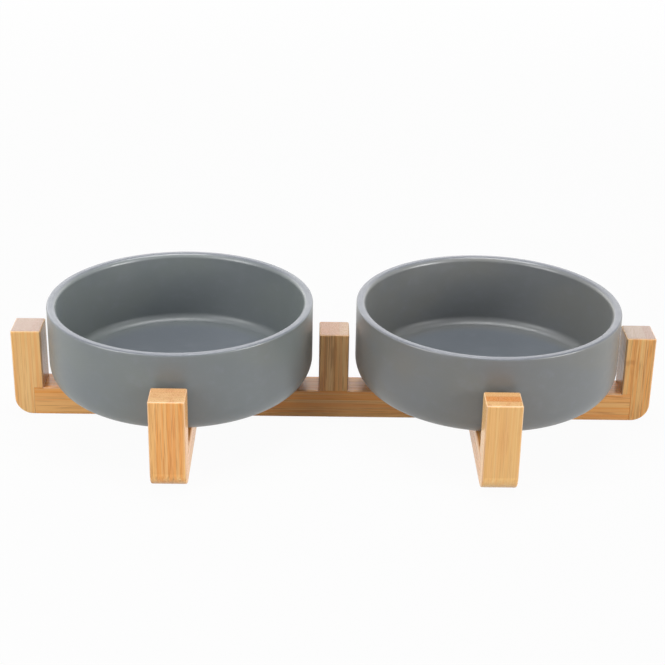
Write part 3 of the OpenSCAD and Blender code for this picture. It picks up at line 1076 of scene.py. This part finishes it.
class PETBOWL_OT_pads(bpy.types.Operator):
    """Make the six non-slip pads"""

    bl_idname = "petbowl.pads"
    bl_label = "Pads"
    bl_options = {"REGISTER", "UNDO"}

    def execute(self, context):
        looks = context.scene.pet_bowl_fittings
        low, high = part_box(PADS[0])
        centre = (low + high) / 2
        radius = (high.x - low.x) / 2
        clear()
        bpy.ops.mesh.primitive_cylinder_add(
            vertices=48, radius=radius, depth=high.z - low.z, location=centre,
        )
        pad = edit("pad")
        pick("EDGE", lambda e: same(e.verts[0].co.z, low.z) and same(e.verts[1].co.z, low.z))
        bevel(looks.pad_edge, 5)
        # The underside is a little hollow inside its rim
        pick("FACE", facing(0, 0, -1))
        bpy.ops.mesh.inset(thickness=looks.pad_edge)
        bpy.ops.mesh.inset(thickness=looks.pad_edge)
        extrude(0, 0, 0.6 * looks.pad_edge)
        true_flats(done(pad))
        rubber = moulded_rubber()
        for name in PADS[1:]:
            near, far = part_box(name)
            twin = copied(pad, name, 0, (near + far) / 2 - centre)
            into_place(twin, name, "stand", rubber)
        into_place(pad, PADS[0], "stand", rubber)
        return {"FINISHED"}


class PETBOWL_OT_studio(bpy.types.Operator):
    """Set up the floor, the lamps, the world and the camera"""

    bl_idname = "petbowl.studio"
    bl_label = "Studio"
    bl_options = {"REGISTER", "UNDO"}

    def execute(self, context):
        looks = context.scene.pet_bowl_studio
        scene = context.scene
        scene.view_settings.view_transform = "Standard"
        # The paper lies 6 m out all round, far past what the camera sees
        clear()
        bpy.ops.mesh.primitive_circle_add(
            vertices=128, radius=6, fill_type="NGON", location=(0, 0, 0),
        )
        floor = context.object
        floor.name = floor.data.name = "studio_floor"
        # Uncoated paper is matt all over: it takes soft shadows and mirrors nothing
        paper, tree, shader = new_material("Paper, seamless white")
        connect(tree, shader, {
            "Base Color": solid(looks.paper), "Roughness": 0.9, "Specular IOR Level": 0.0,
        })
        glow = add_node(tree, "Emission", {"Color": (1, 1, 1, 1), "Strength": 1.0})
        # From 0.4 to 1.6 m away the paper fades to plain white, so no horizon shows
        place = add_node(tree, "TexCoord", {}, "Object")
        away = add_node(tree, "VectorMath", {0: place}, "Value", operation="LENGTH")
        fade = add_node(
            tree, "MapRange", {0: away, 1: 0.4, 2: 1.6, 3: looks.glow, 4: 1.0}, **SMOOTH,
        )
        share = add_node(tree, "Math", {0: seen_directly(tree), 1: fade}, operation="MULTIPLY")
        both = add_node(tree, "MixShader", {0: share, 1: shader.outputs[0], 2: glow})
        connect(tree, tree.nodes["Material Output"], {"Surface": both})
        floor.data.materials.append(paper)

        world = bpy.data.worlds.new("White room")
        scene.world = world
        world.use_nodes = True
        tree = world.node_tree
        connect(tree, tree.nodes["Background"], {
            "Color": (1, 1, 1, 1), "Strength": seen_directly(tree),
        })

        for name, setting, place, size in LAMPS:
            lamp = bpy.data.lights.new(name, "AREA")
            lamp.shape = "RECTANGLE"
            lamp.size, lamp.size_y = size
            lamp.energy = getattr(looks, setting)
            stand = bpy.data.objects.new(name, lamp)
            stand.location = place
            stand.rotation_euler = (-Vector(place)).to_track_quat("-Z", "Y").to_euler()
            stand.visible_camera = False
            scene.collection.objects.link(stand)

        camera = bpy.data.cameras.new("Camera")
        camera.sensor_width = 36
        camera.lens = looks.lens
        camera.clip_start, camera.clip_end = 0.01, 50
        stand = bpy.data.objects.new("Camera", camera)
        scene.collection.objects.link(stand)
        stand.matrix_world = (
            Matrix.Translation(looks.stand_at)
            @ Matrix.Rotation(-looks.yaw, 4, "Z")
            @ Matrix.Rotation(math.radians(90) + looks.pitch, 4, "X")
            @ Matrix.Rotation(looks.roll, 4, "Z")
        )
        scene.camera = stand
        return {"FINISHED"}


SETTINGS = {
    "pet_bowl_ware": BowlSettings,
    "pet_bowl_bamboo": BambooSettings,
    "pet_bowl_fittings": FittingSettings,
    "pet_bowl_studio": StudioSettings,
}
PIECES = (
    PETBOWL_OT_bowls, PETBOWL_OT_rails, PETBOWL_OT_posts,
    PETBOWL_OT_dowels, PETBOWL_OT_screws, PETBOWL_OT_pads, PETBOWL_OT_studio,
)


class PETBOWL_PT_panel(bpy.types.Panel):
    """Lists the pieces and the values that shape them"""

    bl_idname = "PETBOWL_PT_panel"
    bl_label = "Double Pet Bowl"
    bl_space_type = "VIEW_3D"
    bl_region_type = "UI"
    bl_category = "Pet Bowl"

    def draw(self, context):
        for piece in PIECES:
            self.layout.operator(piece.bl_idname)
        for group in SETTINGS:
            values = getattr(context.scene, group)
            box = self.layout.box()
            for key in values.bl_rna.properties.keys():
                if key not in ("rna_type", "name"):
                    box.prop(values, key)


CLASSES = (*SETTINGS.values(), *PIECES, PETBOWL_PT_panel)


def register():
    """Adds the classes to Blender, and the settings to its scenes."""
    for each in CLASSES:
        bpy.utils.register_class(each)
    for name, group in SETTINGS.items():
        setattr(bpy.types.Scene, name, PointerProperty(type=group))


def unregister():
    """Takes them out again."""
    for name in SETTINGS:
        delattr(bpy.types.Scene, name)
    for each in reversed(CLASSES):
        bpy.utils.unregister_class(each)


def main():
    """Makes every piece and the studio."""
    register()
    bpy.ops.petbowl.bowls()
    bpy.ops.petbowl.rails()
    bpy.ops.petbowl.posts()
    bpy.ops.petbowl.dowels()
    bpy.ops.petbowl.screws()
    bpy.ops.petbowl.pads()
    bpy.ops.petbowl.studio()


if __name__ == "__main__":
    main()
